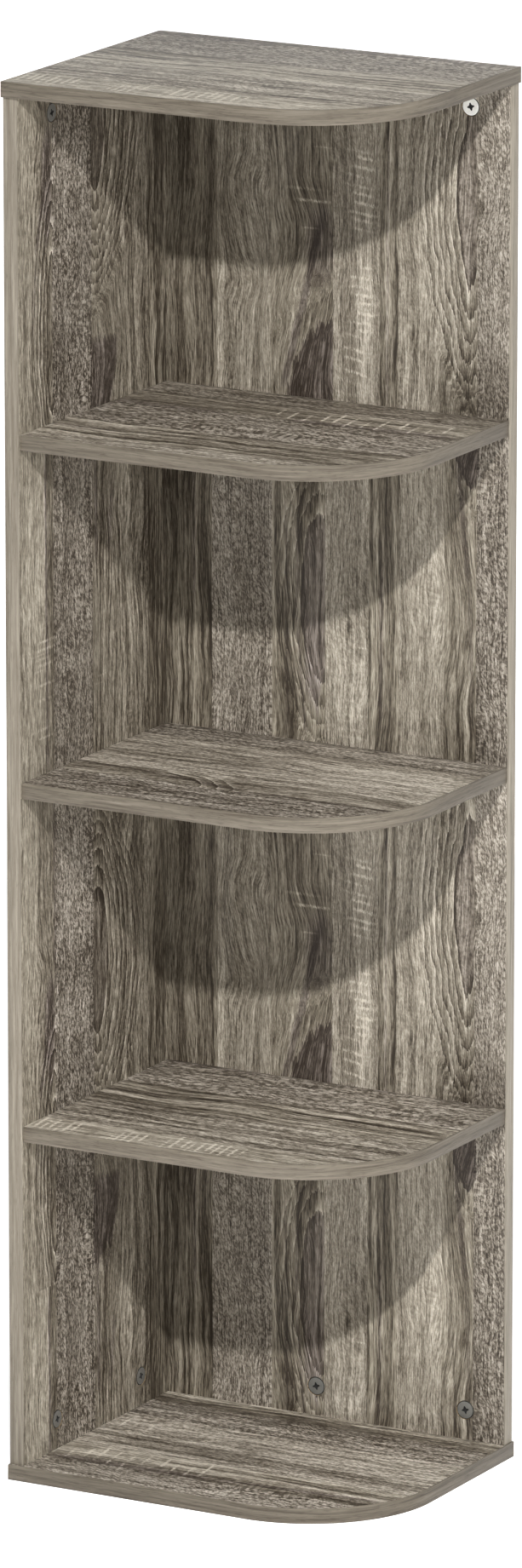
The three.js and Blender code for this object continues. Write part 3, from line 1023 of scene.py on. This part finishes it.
joint = {
    "gap": 0.0003,
    "run": 0.002,  # how far a cutter runs past the surface that it opens
    "threadRadius": 0.0028,
    "sinkRadius": 0.0041,
    "shaftRadius": 0.0023,
    "sinkDepth": 0.0027,
    "camSides": 64,
}
gap, run = joint["gap"], joint["run"]
ends = {"bottom": -1, "top": 1}
panelEnds = {"bottom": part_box("back_panel")[0].z, "top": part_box("back_panel")[1].z}
corners = ("back_left", "back_right", "side_rear", "side_front")
tags = [f"{end}_{corner}" for end in ends for corner in corners]
screws = sorted(name for name in nodes if name.startswith("screw_"))


def boxOf(node):
    # Its lowest corner, its highest corner and its middle
    low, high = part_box(node)
    return low, high, (low + high) / 2


def camPlace(tag):
    # The middle of a cam's face, the way that it looks and the way to its board
    low, high, middle = boxOf("cam_lock_" + tag)
    toBoard = Vector((0, 0, ends[tag.split("_")[0]]))
    if "_back_" in tag:
        return Vector((middle.x, low.y, middle.z)), Vector((0, -1, 0)), toBoard
    return Vector((high.x, middle.y, middle.z)), Vector((1, 0, 0)), toBoard


def screwPlace(node):
    # The middle of a screw's head, the way that it looks and its length
    low, high, middle = boxOf(node)
    if high.x - low.x > high.y - low.y:
        return Vector((low.x, middle.y, middle.z)), Vector((-1, 0, 0)), high.x - low.x
    return Vector((middle.x, high.y, middle.z)), Vector((0, 1, 0)), high.y - low.y


def camCutter(tag):
    low, high, middle = boxOf("cam_lock_" + tag)
    face, outward, toBoard = camPlace(tag)
    radius = (high.z - low.z) / 2 + gap
    deep = min(high.x - low.x, high.y - low.y) + gap
    return addRod(face + outward * run, face - outward * deep, radius, radius, joint["camSides"])


def uprightRod(middle, startZ, endZ, radius):
    start, end = Vector((middle.x, middle.y, startZ)), Vector((middle.x, middle.y, endZ))
    return addRod(start, end, radius, radius)


def boltCutter(tag):
    low, high, middle = boxOf("cam_bolt_" + tag)
    end = tag.split("_")[0]
    radius = (high.x - low.x) / 2 + gap
    return uprightRod(middle, camPlace(tag)[0].z, panelEnds[end] + ends[end] * run, radius)


def threadCutter(tag):
    low, high, middle = boxOf("cam_bolt_" + tag)
    end = tag.split("_")[0]
    tip = high.z + gap if end == "top" else low.z - gap
    return uprightRod(middle, panelEnds[end] - ends[end] * run, tip, joint["threadRadius"])


def dowelCutter(tag):
    low, high, middle = boxOf("dowel_" + tag)
    return uprightRod(middle, low.z - gap, high.z + gap, (high.x - low.x) / 2 + gap)


def cuttersFor(word, *makers):
    # One joined cutter from each maker, for all the tags that hold the word
    return [joinAll([maker(tag) for tag in tags if word in tag]) for maker in makers]


def screwCutters(word):
    shafts, sinks = [], []
    wide, narrow, deep = joint["sinkRadius"], joint["shaftRadius"], joint["sinkDepth"]
    rim = wide + (wide - narrow) / deep * gap
    for node in [name for name in screws if word in name]:
        head, outward, length = screwPlace(node)
        tip = head - outward * (length + gap)
        shafts.append(addRod(head + outward * run, tip, narrow, narrow))
        sinks.append(addRod(head + outward * gap, head - outward * deep, rim, narrow))
    return [joinAll(shafts), joinAll(sinks)]


# Panels

panel = {
    "edge": 0.00015,
    "bandEdge": 0.0004,
}


def makePanel(key):
    name = key + "_panel"
    piece = addBlock(name + "_skin", *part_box(name))
    setFinish(piece, finish[key], finish["chipboard"])
    cuts = cuttersFor(f"_{key}_", camCutter, boltCutter, dowelCutter)
    cutOut(piece, cuts + screwCutters(f"_{key}_") + screwCutters("_corner_"), 1)
    completeWood(piece, panel["edge"], "panel_laminate", name)


def makePanelBand(key):
    name = key + "_panel_edge_band"
    piece = addBlock(name + "_strip", *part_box(name))
    setFinish(piece, finish[key + "Band"])
    completeWood(piece, panel["bandEdge"], "edge_band", name)


makePanel("side")
makePanel("back")
makePanelBand("side")
makePanelBand("back")
print("panels ready")

# Boards

board = {
    "edge": 0.00015,
    "cornerRadius": 0.104,
    "cornerSegments": 40,
    "bandThickness": 0.001,
    "overrun": 0.01,
}


def boardBlank(name, low, high, radius):
    # A block with a round corner at its front right
    blank = addBlock(name, low, high)
    points = [Vector(corner) for corner in blank.bound_box]
    right = max(point.x for point in points)
    front = min(point.y for point in points)

    def atCorner(point):
        return abs(point.x - right) < 1e-5 and abs(point.y - front) < 1e-5

    bevelWhere(blank, atCorner, radius, board["cornerSegments"])
    return blank


def makeBoard(name):
    low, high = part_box(name)
    radius = board["cornerRadius"] - board["bandThickness"]
    slab = boardBlank(name + "_slab", low, high, radius)
    setFinish(slab, finish[name], finish["chipboard"])
    if name.startswith("shelf"):
        cuts = screwCutters(name)
    else:
        cuts = cuttersFor(name.split("_")[0], threadCutter, dowelCutter)
    cutOut(slab, cuts, 1)
    completeWood(slab, board["edge"], "board_laminate", name)

    band = boardBlank(name + "_strip", *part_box(name + "_edge_band"), board["cornerRadius"])
    setFinish(band, finish["boardBand"])
    past = board["overrun"]
    inner = boardBlank("inner", (low.x - past, low.y, low.z - past),
                       (high.x, high.y + past, high.z + past), radius)
    cutOut(band, [inner])
    completeWood(band, board["edge"], "edge_band", name + "_edge_band")


for boardName in boardParts:
    makeBoard(boardName)
print("boards ready")

# Cam locks

cam = {
    "sides": 96,
    "rimEdge": 0.0005,
    "faceThickness": 0.002,
    "wall": 0.0016,
    "slotAxis": 0.006,
    "slotHalf": 0.00198,
    "slotMargin": 24.0,  # degrees past the half turn at each end
    "entryHalf": 0.0031,
    "starReach": 0.0032,
    "starDepth": 0.0016,
    "starTurn": 14.0,
}

star = {
    "profile": (1.0, 0.9, 0.68, 0.58, 0.54),  # from a point's tip to the hollow beside it
    "floor": 0.62,  # its size at the bottom of the recess, where it is 1 at the face
    "sides": 32,
}


def addStar(reach, depth, turn):
    # Cutter for a four-pointed driver recess that narrows as it goes down from z = 0
    cutter = addDisc(star["sides"], reach, depth * 2, 0)
    step = math.tau / star["sides"]
    for point in cutter.data.vertices:
        place = round(math.atan2(point.co.y, point.co.x) / step) % 8
        share = star["profile"][min(place, 8 - place)]
        share *= star["floor"] if point.co.z < 0 else 2 - star["floor"]
        point.co.x *= share
        point.co.y *= share
    spinBy(cutter, turn)
    return cutter


def addHalfDisc(radius, half, z, turn):
    # A half disc on the +X side, turned about Z
    disc = addDisc(cam["sides"], radius, half * 2, z)
    setMode("EDIT")
    bpy.ops.mesh.select_all(action="SELECT")
    bpy.ops.mesh.bisect(plane_co=(0, 0, 0), plane_no=(-1, 0, 0), clear_outer=True, use_fill=True)
    setMode("OBJECT")
    spinBy(disc, turn)
    return disc


def makeCam():
    low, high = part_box("cam_lock_bottom_back_left")
    radius = (high.z - low.z) / 2
    deep = high.y - low.y
    body = addDisc(cam["sides"], radius, deep, -deep / 2)
    body.name = "cam_model"
    setFinish(body, finish["zinc"], finish["recessPaintedShade"])
    bevelWhere(body, lambda point: abs(point.z) < 1e-6, cam["rimEdge"], 3)
    for face in body.data.polygons:  # painted shade: the rim's bevel faces get the dark colour, for the shadow in the gap round the rim
        face.material_index = int(-cam["rimEdge"] < face.center.z < -1e-6)
    bore = radius - cam["wall"]
    hollow = addRod((0, 0, -deep - run), (0, 0, -cam["faceThickness"]), bore, bore, joint["camSides"])
    slots = [addHalfDisc(radius + run, cam["slotHalf"], -cam["slotAxis"], turn)
             for turn in (-cam["slotMargin"], cam["slotMargin"])]
    half = cam["entryHalf"]
    entry = addBlock("entry", (-half, -radius - run, -deep - run), (half, 0, half - cam["slotAxis"]))
    cutOut(body, [hollow, *slots, entry])
    # The driver recess walls get the dark colour, painted shade for the deep recess
    cutOut(body, [addStar(cam["starReach"], cam["starDepth"], cam["starTurn"])], 1)
    smooth(body, 35)
    return body


camModel = makeCam()
for tag in tags:
    face, outward, toBoard = camPlace(tag)
    piece = copyPiece(camModel, f"cam_{tag}_disc", turnTo(face, toBoard, outward))
    # This cam's disc gets the near-white zinc, a painted reflection
    if tag == "top_back_right":
        piece.data.materials[0] = finish["paintedReflectionZinc"]
    settle(piece, "cam_" + tag, "zinc_cam", "cam_lock_" + tag)
bpy.data.objects.remove(camModel)
print("cam locks ready")

# Screws

screw = {
    "sides": 32,
    "headRadius": 0.0038,
    "headHeight": 0.0024,
    "headEdge": 0.0002,
    "shankRadius": 0.002,
    "coreRadius": 0.0015,
    "tipRadius": 0.0002,
    "tipLength": 0.003,
    "pitch": 0.0022,
    "crest": 0.4,  # where a thread's crest is between two roots
    "plainPitches": 4,  # the shank under the head has no thread
    "shoulder": 0.0006,
    "starReach": 0.0017,
    "starDepth": 0.0014,
    "starTurn": 8.0,
}


def turnedPiece(name, profile, sides):
    # Extrudes a filled circle along Z and scales it at each step of (radius, z)
    deselectAll()
    radius, z = profile[0]
    bpy.ops.mesh.primitive_circle_add(vertices=sides, radius=radius, fill_type="NGON")
    piece = bpy.context.active_object
    piece.name = name
    setMode("EDIT")
    bpy.ops.mesh.select_all(action="SELECT")
    bpy.ops.transform.translate(value=(0, 0, z))
    for (oldRadius, oldZ), (newRadius, newZ) in zip(profile, profile[1:]):
        bpy.ops.mesh.extrude_region_move(TRANSFORM_OT_translate={"value": (0, 0, newZ - oldZ)})
        grow = newRadius / oldRadius
        bpy.ops.transform.resize(value=(grow, grow, 1), center_override=(0, 0, newZ))
    bpy.ops.mesh.select_all(action="SELECT")
    bpy.ops.mesh.normals_make_consistent(inside=False)
    setMode("OBJECT")
    return piece


def makeScrew(length):
    core, shank, pitch = screw["coreRadius"], screw["shankRadius"], screw["pitch"]
    z = screw["tipLength"] - length
    profile = [(screw["tipRadius"], -length), (core, z)]
    while z + pitch < -screw["headHeight"] - pitch * screw["plainPitches"]:
        profile += [(shank, z + pitch * screw["crest"]), (core, z + pitch)]
        z += pitch
    profile += [
        (shank, z + screw["shoulder"]),
        (shank, -screw["headHeight"]),
        (screw["headRadius"], -screw["headEdge"]),
        (screw["headRadius"] - screw["headEdge"], 0),
    ]
    body = turnedPiece("screw_model", profile, screw["sides"])
    cutOut(body, [addStar(screw["starReach"], screw["starDepth"], screw["starTurn"])])
    smooth(body, 35)
    return body


screwModel = makeScrew(screwPlace(screws[0])[2])
for name in screws:
    head, outward, length = screwPlace(name)
    piece = copyPiece(screwModel, name + "_turned", turnTo(head, Vector((0, 0, 1)), outward))
    setFinish(piece, finish["steel"])
    settle(piece, "carcass", "steel_fixing", name)
bpy.data.objects.remove(screwModel)
print("screws ready")

# Bolts and dowels keep their own shapes

for name, node in nodes.items():
    if name.startswith("cam_bolt_"):
        setFinish(node, finish["steel"])
    elif name.startswith("dowel_"):
        setFinish(node, finish["beech"])
